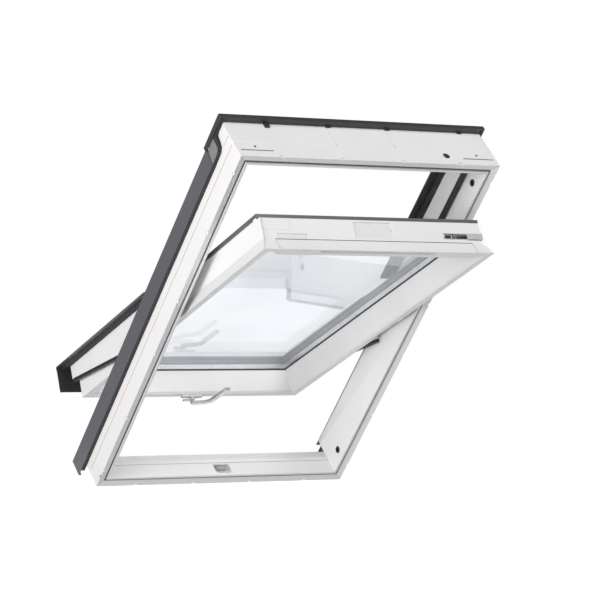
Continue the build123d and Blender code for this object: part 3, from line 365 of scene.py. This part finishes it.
screw_tree, screw_inputs, given, result = node_tree(
    "cross_head_screws",
    (
        ("Places", "NodeSocketGeometry", None),
        ("Head diameter", "NodeSocketFloat", 0.007),
        ("Head height", "NodeSocketFloat", 0.0014),
        ("Recess width", "NodeSocketFloat", 0.0009),
        ("Lean", "NodeSocketVector", (0.0, 0.0, 0.0)),
        ("Seed", "NodeSocketInt", 4),
        ("Metal", "NodeSocketMaterial", None),
    ),
    "Screws",
)
parts, wires = screw_tree.nodes, screw_tree.links
points = parts.new("GeometryNodeMeshToPoints")
wires.new(given.outputs["Places"], points.inputs["Mesh"])
half = parts.new("ShaderNodeMath")
half.operation = "MULTIPLY"
half.inputs[1].default_value = 0.5
wires.new(given.outputs["Head diameter"], half.inputs[0])
crown = parts.new("ShaderNodeMath")
crown.operation = "MULTIPLY"
crown.inputs[1].default_value = 0.36
wires.new(given.outputs["Head diameter"], crown.inputs[0])
head = parts.new("GeometryNodeMeshCone")
head.inputs["Vertices"].default_value = 20
wires.new(crown.outputs[0], head.inputs["Radius Top"])
wires.new(half.outputs[0], head.inputs["Radius Bottom"])
wires.new(given.outputs["Head height"], head.inputs["Depth"])
recess = parts.new("GeometryNodeMeshBoolean")
recess.operation = "DIFFERENCE"
wires.new(head.outputs["Mesh"], recess.inputs["Mesh 1"])
for way in (0, 1):
    size = parts.new("ShaderNodeCombineXYZ")
    wires.new(given.outputs["Recess width"], size.inputs[way])
    wires.new(half.outputs[0], size.inputs[1 - way])
    wires.new(given.outputs["Head height"], size.inputs[2])
    blade = parts.new("GeometryNodeMeshCube")
    wires.new(size.outputs[0], blade.inputs["Size"])
    lift = parts.new("ShaderNodeCombineXYZ")
    wires.new(given.outputs["Head height"], lift.inputs[2])
    raised = parts.new("GeometryNodeTransform")
    wires.new(blade.outputs["Mesh"], raised.inputs["Geometry"])
    wires.new(lift.outputs[0], raised.inputs["Translation"])
    wires.new(raised.outputs["Geometry"], recess.inputs["Mesh 2"])
spin = parts.new("FunctionNodeRandomValue")
spin.data_type = "FLOAT"
spin.inputs["Max"].default_value = 3.14
wires.new(given.outputs["Seed"], spin.inputs["Seed"])
spin_axis = parts.new("ShaderNodeCombineXYZ")
wires.new(spin.outputs[1], spin_axis.inputs[2])
spin_turn = parts.new("FunctionNodeEulerToRotation")
wires.new(spin_axis.outputs[0], spin_turn.inputs["Euler"])
lean_turn = parts.new("FunctionNodeEulerToRotation")
wires.new(given.outputs["Lean"], lean_turn.inputs["Euler"])
both_turns = parts.new("FunctionNodeRotateRotation")
both_turns.rotation_space = "LOCAL"
wires.new(lean_turn.outputs[0], both_turns.inputs["Rotation"])
wires.new(spin_turn.outputs[0], both_turns.inputs["Rotate By"])
set_screws = parts.new("GeometryNodeInstanceOnPoints")
wires.new(points.outputs["Points"], set_screws.inputs["Points"])
wires.new(recess.outputs["Mesh"], set_screws.inputs["Instance"])
wires.new(both_turns.outputs[0], set_screws.inputs["Rotation"])
made_real(
    screw_tree, set_screws.outputs["Instances"], given.outputs["Metal"], result.inputs["Screws"]
)


def grown_mesh(piece):
    """Plain mesh of a piece as its node tree makes it."""
    bpy.context.view_layer.update()
    evaluated = piece.evaluated_get(bpy.context.evaluated_depsgraph_get())
    mesh = bpy.data.meshes.new_from_object(evaluated)
    piece.modifiers.clear()
    piece.data = mesh
    return piece


def screws(name, spots, towards, place, diameter, metal, body):
    """Cross-head screws at (across, depth, up) spots, their heads facing one way."""
    seats = bpy.data.meshes.new(name)
    seats.from_pydata([place @ Vector(spot) for spot in spots], [], [])
    piece = bpy.data.objects.new(name, seats)
    bpy.context.scene.collection.objects.link(piece)
    lean = (place.to_3x3() @ Vector(towards)).to_track_quat("Z", "Y").to_euler()
    growth = piece.modifiers.new("screws", "NODES")
    growth.node_group = screw_tree
    growth[screw_inputs["Head diameter"]] = diameter
    growth[screw_inputs["Head height"]] = diameter * 0.18
    growth[screw_inputs["Recess width"]] = diameter * 0.13
    growth[screw_inputs["Lean"]] = tuple(lean)
    growth[screw_inputs["Metal"]] = metal
    grown_mesh(piece)
    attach(piece, body)


screw_steel = finish(
    "screw_steel", (0.58, 0.58, 0.60, 1), (0.50, 0.50, 0.52, 1),
    patch=0.004, gloss=0.32, spread=0.08, grain=0.0006, height=0.00003, metal=1.0,
)
hood_screw_across, hood_face = 0.352, 0.1553
hood_screw_heights = (1.100, 1.165)
hood_screw_size = 0.0085
for side, label in ((-1, "left"), (1, "right")):
    spots = [(side * hood_screw_across, hood_face, up) for up in hood_screw_heights]
    screws(
        f"hood_screws_{label}", spots, (0, 1, 0), frame_place, hood_screw_size,
        screw_steel, "frame",
    )

# Pivot hinges: zinc-plated steel plates on the jambs and in the sides of the sash, each
# let in flush and held by three screws; the round ear of each carries the pin.
hinge_zinc = finish(
    "hinge_zinc", (0.62, 0.62, 0.64, 1), (0.50, 0.50, 0.53, 1),
    patch=0.006, gloss=0.36, spread=0.08, grain=0.0011, height=0.00003, metal=1.0, edge=0.0006,
)
dress(hinge_zinc, "frame_hinge_left", "frame_hinge_right", "sash_hinge_left", "sash_hinge_right")
pivot = Vector((0, 0.150, 0.590))
open_turn = math.radians(26)
sash_turn = Matrix.Rotation(open_turn, 4, "X")
sash_place = (
    frame_place @ Matrix.Translation(pivot) @ sash_turn @ Matrix.Translation(-pivot)
)
jamb_plate_face, sash_plate_face = 0.3579, 0.3431
hinge_screw_depth = 0.112
hinge_screw_heights = (0.541, 0.590, 0.626)
hinge_screw_size = 0.008
for side, label in ((-1, "left"), (1, "right")):
    jamb_spots = [(side * jamb_plate_face, hinge_screw_depth, up) for up in hinge_screw_heights]
    screws(
        f"jamb_hinge_screws_{label}", jamb_spots, (-side, 0, 0), frame_place, hinge_screw_size,
        screw_steel, "frame",
    )
    sash_spots = [(side * sash_plate_face, hinge_screw_depth, up) for up in hinge_screw_heights]
    screws(
        f"sash_hinge_screws_{label}", sash_spots, (side, 0, 0), sash_place, hinge_screw_size,
        screw_steel, "sash",
    )

# Sash: two rails and two stiles like the frame, white lacquered polyurethane round timber,
# mitred at the corners, with the glazing rebate on the outside.
sash_lacquer = finish(
    "sash_lacquer", white_lacquer_colour, white_lacquer_shade,
    patch=0.14, gloss=0.32, spread=0.05, grain=0.0015, height=0.00005, edge=0.0014,
)
dress(sash_lacquer, "sash_top_rail", "sash_bottom_rail", "sash_stile_left", "sash_stile_right")

# Control flap: a white lacquered bar along the top rail, hinged on two pins, with a long
# finger groove. A black lip seals it against the rail and thin strips close its two ends.
flap_lacquer = finish(
    "flap_lacquer", (0.92, 0.92, 0.915, 1), (0.89, 0.89, 0.885, 1),
    patch=0.14, gloss=0.32, spread=0.05, grain=0.0015, height=0.00005, edge=0.0014,
)
dress(flap_lacquer, "control_flap")
sash_top = 1.139
lip_half = 0.2975
lip_near, lip_far = 0.0782, 0.0796
lip_foot, lip_crown = sash_top - 0.0176, sash_top - 0.0168
flap_lip = [((-lip_half, lip_near, lip_foot), (lip_half, lip_far, lip_crown))]
bars("flap_seal", flap_lip, sash_place, 0.0002, seal_rubber, "sash")
flap_half = 0.297
gap_clear, gap_far = 0.0001, 0.0009
gap_front, gap_back = 0.0455, 0.0775
gap_foot, gap_crown = sash_top - 0.006, sash_top - 0.0001
sash_depth = 0.044
flare_slope = 0.5
along_flare = Matrix(
    ((1, 0, 0, 0), (0, 1, 0, 0), (0, -flare_slope, 1, flare_slope * sash_depth), (0, 0, 0, 1))
)
end_gaps = []
for side in (-1, 1):
    near, far = sorted((side * (flap_half + gap_clear), side * (flap_half + gap_far)))
    end_gaps.append(((near, gap_front, gap_foot), (far, gap_back, gap_crown)))
bars(
    "flap_end_gaskets", end_gaps, sash_place @ along_flare, 0.00015,
    seal_rubber, "sash",
)

# Slide bolt: a turned steel rod in a grey plastic housing, with a wire loop and a stud for
# the finger and a cover plate over its outer end. It locks the sash at an angle.
bolt_satin = finish(
    "bolt_satin", (0.60, 0.60, 0.61, 1), (0.50, 0.50, 0.52, 1),
    patch=0.006, gloss=0.25, spread=0.06, grain=0.0008, height=0.00002, metal=1.0, edge=0.0005,
)
housing_grey = finish(
    "housing_grey", (0.60, 0.60, 0.605, 1), (0.54, 0.54, 0.545, 1),
    patch=0.02, gloss=0.42, spread=0.06, grain=0.0008, height=0.00004, edge=0.0005,
)
dress(bolt_satin, "slide_bolt")
dress(housing_grey, "bolt_housing")
trough_face = sash_top - 0.017


def bent_wire(name, points, closed, radius, place, material, body):
    """Round wire or tube that follows a smooth line through the window."""
    line = bpy.data.curves.new(name, "CURVE")
    line.dimensions = "3D"
    line.bevel_depth = radius
    line.bevel_resolution = 4
    line.use_fill_caps = True
    run = line.splines.new("NURBS")
    run.points.add(len(points) - 1)
    for point, spot in zip(run.points, points):
        point.co = (*spot, 1)
    run.use_cyclic_u = closed
    run.order_u = 3
    run.use_endpoint_u = not closed
    holder = bpy.data.objects.new(name, line)
    bpy.context.scene.collection.objects.link(holder)
    bpy.context.view_layer.update()
    evaluated = holder.evaluated_get(bpy.context.evaluated_depsgraph_get())
    mesh = bpy.data.meshes.new_from_object(evaluated)
    bpy.data.objects.remove(holder)
    form = bmesh.new()
    form.from_mesh(mesh)
    bmesh.ops.remove_doubles(form, verts=list(form.verts), dist=1e-6)
    bmesh.ops.recalc_face_normals(form, faces=list(form.faces))
    form.transform(place)
    form.to_mesh(mesh)
    form.free()
    mesh.materials.clear()
    mesh.materials.append(material)
    mesh.shade_smooth()
    return settle(bpy.data.objects.new(name, mesh), body)


loop_level = trough_face - 0.0028
loop_wire, stem_wire = 0.0019, 0.0022
loop = [
    (0.2150, 0.0925), (0.2260, 0.0915), (0.2370, 0.0925),
    (0.2385, 0.0970), (0.2370, 0.1015), (0.2260, 0.1025),
    (0.2150, 0.1015), (0.2135, 0.0970),
]
bent_wire(
    "bolt_loop", [(across, depth, loop_level) for across, depth in loop], True, loop_wire,
    sash_place, bolt_satin, "bolt",
)
bolt_depth = 0.0970
stem = [
    (0.2200, bolt_depth, sash_top - 0.0355),
    (0.2200, bolt_depth, loop_level - 0.006),
    (0.2170, bolt_depth, loop_level - 0.001),
    (0.2140, bolt_depth, loop_level),
]
bent_wire(
    "bolt_loop_stem", stem, False, stem_wire, sash_place, bolt_satin, "bolt"
)
stud_across, stud_radius = 0.248, 0.0058
stud_foot, stud_crown = sash_top - 0.0335, trough_face - 0.0006
set_of_studs(
    "bolt_finger_stud", [(stud_across, bolt_depth)], stud_radius, stud_foot, stud_crown,
    sash_place, bolt_satin, "bolt", sides=32,
)
plate_start, plate_end, plate_sink = 0.2840, 0.3330, 0.0004
plate_near, plate_far, plate_edge_near, plate_edge_far = 0.0890, 0.1050, 0.0872, 0.0889
plate_low, lid_top, edge_top = trough_face - plate_sink, trough_face + 0.0009, trough_face + 0.0005
plate_lid = [((plate_start, plate_near, plate_low), (plate_end, plate_far, lid_top))]
bars("bolt_cover_plate", plate_lid, sash_place, 0.0004, housing_grey, "sash")
plate_edge = [((plate_start, plate_edge_near, plate_low), (plate_end, plate_edge_far, edge_top))]
bars("bolt_cover_edge", plate_edge, sash_place, 0.0002, moulded_black, "sash")

# Filters and plate on the top rail: snap-in white covers with a finger hole, and a thin
# plain metal plate stuck on beside them, brushed along its length.
cover_white = finish(
    "filter_cover_white", (0.86, 0.86, 0.855, 1), (0.82, 0.82, 0.815, 1),
    patch=0.03, gloss=0.42, spread=0.05, grain=0.0007, height=0.00003, edge=0.0005,
)
plate_metal = finish(
    "plate_metal", (0.90, 0.90, 0.90, 1), (0.84, 0.84, 0.85, 1),
    patch=0.01, gloss=0.40, spread=0.06, grain=0.0009, height=0.00002,
    metal=0.15, edge=0.0003, run=(0.1, 4, 4),
)
dress(cover_white, "filter_covers")
dress(plate_metal, "data_plate")

# Handle: a bent lever of satin metal on a spindle with its locking tongue, turning in a
# light plastic base that is screwed to the bottom rail.
handle_satin = finish(
    "handle_satin", (0.56, 0.57, 0.57, 1), (0.46, 0.47, 0.47, 1),
    patch=0.02, gloss=0.24, spread=0.06, grain=0.0009, height=0.00002, metal=0.85, edge=0.0008,
)
base_white = finish(
    "handle_base_white", (0.60, 0.60, 0.60, 1), (0.52, 0.52, 0.52, 1),
    patch=0.02, gloss=0.4, spread=0.05, grain=0.0008, height=0.00003, edge=0.0008,
)
dress(handle_satin, "handle")
dress(base_white, "handle_base")
handle_across, base_screw_reach = -0.005, 0.024
base_face, base_screw_height, base_screw_size = 0.0369, 0.054, 0.0075
base_spots = []
for way in (-1, 1):
    base_spots.append((handle_across + way * base_screw_reach, base_face, base_screw_height))
screws(
    "handle_base_screws", base_spots, (0, -1, 0), sash_place, base_screw_size,
    screw_steel, "sash",
)

# Double glazing: two clear panes on a perforated aluminium spacer, sealed round the edge
# and held between rubber gaskets on small black blocks. A round bulb runs along each rail seal.
pane_glass = bpy.data.materials.new("pane_glass")
pane_glass.use_nodes = True
glass_nodes, glass_links = pane_glass.node_tree.nodes, pane_glass.node_tree.links
glass_shader = glass_nodes["Principled BSDF"]
glass_shader.inputs["Transmission Weight"].default_value = 1.0
glass_shader.inputs["IOR"].default_value = 1.38
glass_where = glass_nodes.new("ShaderNodeTexCoord")
glass_film = glass_nodes.new("ShaderNodeTexNoise")
glass_film.inputs["Scale"].default_value = 5.0
glass_film.inputs["Detail"].default_value = 3
glass_links.new(glass_where.outputs["Object"], glass_film.inputs["Vector"])
glass_tint = glass_nodes.new("ShaderNodeValToRGB")
glass_tint.color_ramp.elements[0].position = 0.35
glass_tint.color_ramp.elements[0].color = (0.885, 0.902, 0.928, 1)
glass_tint.color_ramp.elements[1].position = 0.65
glass_tint.color_ramp.elements[1].color = (0.922, 0.930, 0.950, 1)
glass_links.new(glass_film.outputs["Fac"], glass_tint.inputs["Fac"])
glass_links.new(glass_tint.outputs["Color"], glass_shader.inputs["Base Color"])
glass_clear = glass_nodes.new("ShaderNodeMapRange")
glass_clear.inputs["To Min"].default_value = 0.0
glass_clear.inputs["To Max"].default_value = 0.02
glass_links.new(glass_film.outputs["Fac"], glass_clear.inputs["Value"])
glass_links.new(glass_clear.outputs["Result"], glass_shader.inputs["Roughness"])
dress(pane_glass, "inner_pane", "outer_pane")
for pane in ("inner_pane", "outer_pane"):
    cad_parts[pane].visible_shadow = False
spacer_metal = finish(
    "spacer_metal", (0.72, 0.73, 0.75, 1), (0.64, 0.65, 0.68, 1),
    patch=0.03, gloss=0.30, spread=0.06, grain=0.0009, height=0.00002, metal=1.0, run=(0.3, 1, 1),
)
butyl_and_hole_shade = finish(
    "butyl_and_hole_shade", (0.024, 0.024, 0.026, 1), (0.018, 0.018, 0.020, 1),
    patch=0.02, gloss=0.7, spread=0.08, grain=0.0015, height=0.0001,
)
dress(spacer_metal, "spacer_bar")
dress(butyl_and_hole_shade, "edge_seal")
dress(seal_rubber, "inner_gasket", "outer_gasket", "rail_seal_left", "rail_seal_right")
dress(moulded_black, "setting_blocks")

# Spacer perforation: rows of thin dark discs on the spacer, painted shade for the dark inside its
# holes.
hole_tree, hole_inputs, given, result = node_tree(
    "spacer_perforation",
    (
        ("Path", "NodeSocketGeometry", None),
        ("Hole pitch", "NodeSocketFloat", 0.008),
        ("Hole diameter", "NodeSocketFloat", 0.0012),
        ("Turn", "NodeSocketVector", (0.0, 0.0, 0.0)),
        ("Shade", "NodeSocketMaterial", None),
    ),
    "Holes",
)
parts, wires = hole_tree.nodes, hole_tree.links
path = parts.new("GeometryNodeMeshToCurve")
wires.new(given.outputs["Path"], path.inputs["Mesh"])
stations = parts.new("GeometryNodeResampleCurve")
stations.mode = "LENGTH"
wires.new(path.outputs["Curve"], stations.inputs["Curve"])
wires.new(given.outputs["Hole pitch"], stations.inputs["Length"])
radius = parts.new("ShaderNodeMath")
radius.operation = "MULTIPLY"
radius.inputs[1].default_value = 0.5
wires.new(given.outputs["Hole diameter"], radius.inputs[0])
hole = parts.new("GeometryNodeMeshCylinder")
hole.inputs["Vertices"].default_value = 8
hole.inputs["Depth"].default_value = 0.0002
wires.new(radius.outputs[0], hole.inputs["Radius"])
hole_turn = parts.new("FunctionNodeEulerToRotation")
wires.new(given.outputs["Turn"], hole_turn.inputs["Euler"])
set_holes = parts.new("GeometryNodeInstanceOnPoints")
wires.new(stations.outputs["Curve"], set_holes.inputs["Points"])
wires.new(hole.outputs["Mesh"], set_holes.inputs["Instance"])
wires.new(hole_turn.outputs[0], set_holes.inputs["Rotation"])
made_real(
    hole_tree, set_holes.outputs["Instances"], given.outputs["Shade"], result.inputs["Holes"]
)
spacer_half, spacer_low, spacer_high, spacer_middle = 0.2959, 0.0921, 1.0889, 0.121
row_inset = 0.01
row_low, row_high = spacer_low + row_inset, spacer_high - row_inset
row_half = spacer_half - row_inset
ways = (
    (-spacer_half, row_low, -spacer_half, row_high, (1, 0, 0)),
    (spacer_half, row_low, spacer_half, row_high, (-1, 0, 0)),
    (-row_half, spacer_low, row_half, spacer_low, (0, 0, 1)),
    (-row_half, spacer_high, row_half, spacer_high, (0, 0, -1)),
)
hole_rows = []
for from_across, from_up, to_across, to_up, towards in ways:
    start = sash_place @ Vector((from_across, spacer_middle, from_up))
    end = sash_place @ Vector((to_across, spacer_middle, to_up))
    row_mesh = bpy.data.meshes.new("spacer_holes")
    row_mesh.from_pydata([start, end], [(0, 1)], [])
    row = bpy.data.objects.new("spacer_holes", row_mesh)
    bpy.context.scene.collection.objects.link(row)
    growth = row.modifiers.new("holes", "NODES")
    growth.node_group = hole_tree
    lean = (sash_place.to_3x3() @ Vector(towards)).to_track_quat("Z", "Y").to_euler()
    growth[hole_inputs["Turn"]] = tuple(lean)
    growth[hole_inputs["Shade"]] = butyl_and_hole_shade
    hole_rows.append(grown_mesh(row))
holes = bmesh.new()
for row in hole_rows:
    holes.from_mesh(row.data)
    bpy.data.objects.remove(row)
hole_mesh = bpy.data.meshes.new("spacer_holes")
holes.to_mesh(hole_mesh)
holes.free()
hole_mesh.materials.append(butyl_and_hole_shade)
settle(bpy.data.objects.new("spacer_perforation", hole_mesh), "sash")
bulb_across, bulb_radius = 0.3565, 0.0034
bulb_stand_off = 0.0065
bulb_foot_depth, bulb_head_depth = 0.104 - bulb_stand_off, 0.04456 - bulb_stand_off
bulb_foot, bulb_length = 0.030, 0.478
bulb_steps = 6
for side, label in ((-1, "left"), (1, "right")):
    bulb = []
    for i in range(bulb_steps + 1):
        share = i / bulb_steps
        depth = bulb_foot_depth + (bulb_head_depth - bulb_foot_depth) * share
        bulb.append((side * bulb_across, depth, bulb_foot + bulb_length * share))
    bent_wire(
        f"rail_bulb_{label}", bulb, False, bulb_radius, sash_place,
        seal_rubber, "sash",
    )

# Covers of the sash: folded aluminium with the grey lacquer above the pivot, drawn in a slightly
# lighter copy of the cover grey as painted light, wide sheets below it that lap the frame, and the
# black foam and skirt under them.
sash_cover_painted_light_lacquer = finish(
    "sash_cover_painted_light_lacquer", (0.165, 0.165, 0.180, 1), (0.145, 0.145, 0.160, 1),
    patch=0.3, gloss=0.38, spread=0.04, grain=0.0005, height=0.00003, metal=0.35, edge=0.0009,
)
dress(sash_cover_painted_light_lacquer, "sash_cover_top", "sash_cover_left", "sash_cover_right")
dress(sash_cover_painted_light_lacquer, "pivot_cap_left", "pivot_cap_right")
dress(cover_lacquer, "lower_cover_left", "lower_cover_right", "bottom_cover")
dress(foam_black, "cover_foam_left", "cover_foam_right")
dress(seal_rubber, "bottom_skirt")

# Studio: a pale floor under the window, a large soft box at its left, another in front
# above it and a bright sweep behind. None of it is part of the window.
bpy.context.scene.view_settings.view_transform = "Standard"
room_floor_drop = 0.02
floor_size = 1.6
floor_height = cad_box[0][2] - room_floor_drop
floor_middle = -0.35
floor_mesh = bpy.data.meshes.new("studio_floor")
floor_mesh.from_pydata(
    [
        (-floor_size, floor_middle - floor_size, floor_height),
        (floor_size, floor_middle - floor_size, floor_height),
        (floor_size, floor_middle + floor_size, floor_height),
        (-floor_size, floor_middle + floor_size, floor_height),
    ],
    [],
    [(0, 1, 2, 3)],
)
floor = bpy.data.objects.new("studio_floor", floor_mesh)
bpy.context.scene.collection.objects.link(floor)
floor_paint = bpy.data.materials.new("studio_floor_paint")
floor_paint.use_nodes = True
floor_shader = floor_paint.node_tree.nodes["Principled BSDF"]
floor_shader.inputs["Base Color"].default_value = (0.85, 0.85, 0.85, 1)
floor_shader.inputs["Roughness"].default_value = 0.9
floor_shader.inputs["Emission Color"].default_value = (1, 1, 1, 1)
floor_shader.inputs["Emission Strength"].default_value = 0.85
floor_mesh.materials.append(floor_paint)
floor.visible_diffuse = False

studio = bpy.data.worlds.new("studio")
studio.use_nodes = True
sky, sky_links = studio.node_tree.nodes, studio.node_tree.links
backdrop = sky["Background"]
room_way = sky.new("ShaderNodeTexCoord")
room_split = sky.new("ShaderNodeSeparateXYZ")
sky_links.new(room_way.outputs["Generated"], room_split.inputs[0])
room_shade = sky.new("ShaderNodeValToRGB")
room_shade.color_ramp.elements[0].position = 0.0
room_shade.color_ramp.elements[0].color = (0.36, 0.36, 0.36, 1)
room_shade.color_ramp.elements[1].position = 0.85
room_shade.color_ramp.elements[1].color = (0.10, 0.10, 0.10, 1)
sweep = room_shade.color_ramp.elements.new(0.48)
sweep.color = (0.40, 0.40, 0.40, 1)
sweep_top = room_shade.color_ramp.elements.new(0.62)
sweep_top.color = (0.30, 0.30, 0.30, 1)
height_of_way = sky.new("ShaderNodeMapRange")
height_of_way.inputs["From Min"].default_value = -1.0
height_of_way.inputs["From Max"].default_value = 1.0
sky_links.new(room_split.outputs["Z"], height_of_way.inputs["Value"])
sky_links.new(height_of_way.outputs["Result"], room_shade.inputs["Fac"])
ray = sky.new("ShaderNodeLightPath")
seen = sky.new("ShaderNodeMath")
seen.operation = "MAXIMUM"
sky_links.new(ray.outputs["Is Camera Ray"], seen.inputs[0])
sky_links.new(ray.outputs["Is Transmission Ray"], seen.inputs[1])
white_sweep = sky.new("ShaderNodeMix")
white_sweep.data_type = "RGBA"
white_sweep.inputs[7].default_value = (1, 1, 1, 1)
sky_links.new(seen.outputs[0], white_sweep.inputs[0])
room_tilt = sky.new("ShaderNodeVectorMath")
room_tilt.operation = "DOT_PRODUCT"
room_tilt.inputs[1].default_value = (-0.6, -0.35, 0.0)
sky_links.new(room_way.outputs["Generated"], room_tilt.inputs[0])
room_lift = sky.new("ShaderNodeMath")
room_lift.operation = "ADD"
room_lift.inputs[1].default_value = 1.0
sky_links.new(room_tilt.outputs["Value"], room_lift.inputs[0])
room_light = sky.new("ShaderNodeVectorMath")
room_light.operation = "SCALE"
sky_links.new(room_shade.outputs["Color"], room_light.inputs[0])
sky_links.new(room_lift.outputs[0], room_light.inputs["Scale"])
sky_links.new(room_light.outputs["Vector"], white_sweep.inputs[6])
sky_links.new(white_sweep.outputs[2], backdrop.inputs["Color"])
backdrop.inputs["Strength"].default_value = 1.0
bpy.context.scene.world = studio


def studio_light(name, place, target, size, watts):
    """Square soft box that faces a target and isn't seen itself."""
    lamp = bpy.data.lights.new(name, "AREA")
    lamp.shape = "SQUARE"
    lamp.size = size
    lamp.energy = watts
    box = bpy.data.objects.new(name, lamp)
    box.location = place
    box.rotation_euler = (Vector(target) - Vector(place)).to_track_quat("-Z", "Y").to_euler()
    box.visible_camera = False
    box.visible_transmission = False
    bpy.context.scene.collection.objects.link(box)


window_middle = (0.0, -0.35, 0.4)
studio_light("left_box", (-4.2, -2.0, 0.7), window_middle, 2.2, 122)
studio_light("front_box", (0.6, -2.9, 4.0), window_middle, 2.0, 86)

# Camera at the photograph's angle: level, a little to the left of the window, long lens.
camera_place = Vector((-3.7174, -6.7853, 0.2755))
camera_right = Vector((0.8616, -0.5076, -0.0055))
camera_ahead = Vector((0.5076, 0.8612, 0.0261))
camera = bpy.data.cameras.new("photo_camera")
camera.lens = 164.14
camera.sensor_width = 36.0
camera_up = camera_right.cross(camera_ahead).normalized()
camera_ahead.normalize()
camera_right = camera_ahead.cross(camera_up)
turn = Matrix((camera_right, camera_up, -camera_ahead)).transposed()
photo_camera = bpy.data.objects.new("photo_camera", camera)
photo_camera.matrix_world = Matrix.Translation(camera_place) @ turn.to_4x4()
bpy.context.scene.collection.objects.link(photo_camera)
bpy.context.scene.camera = photo_camera
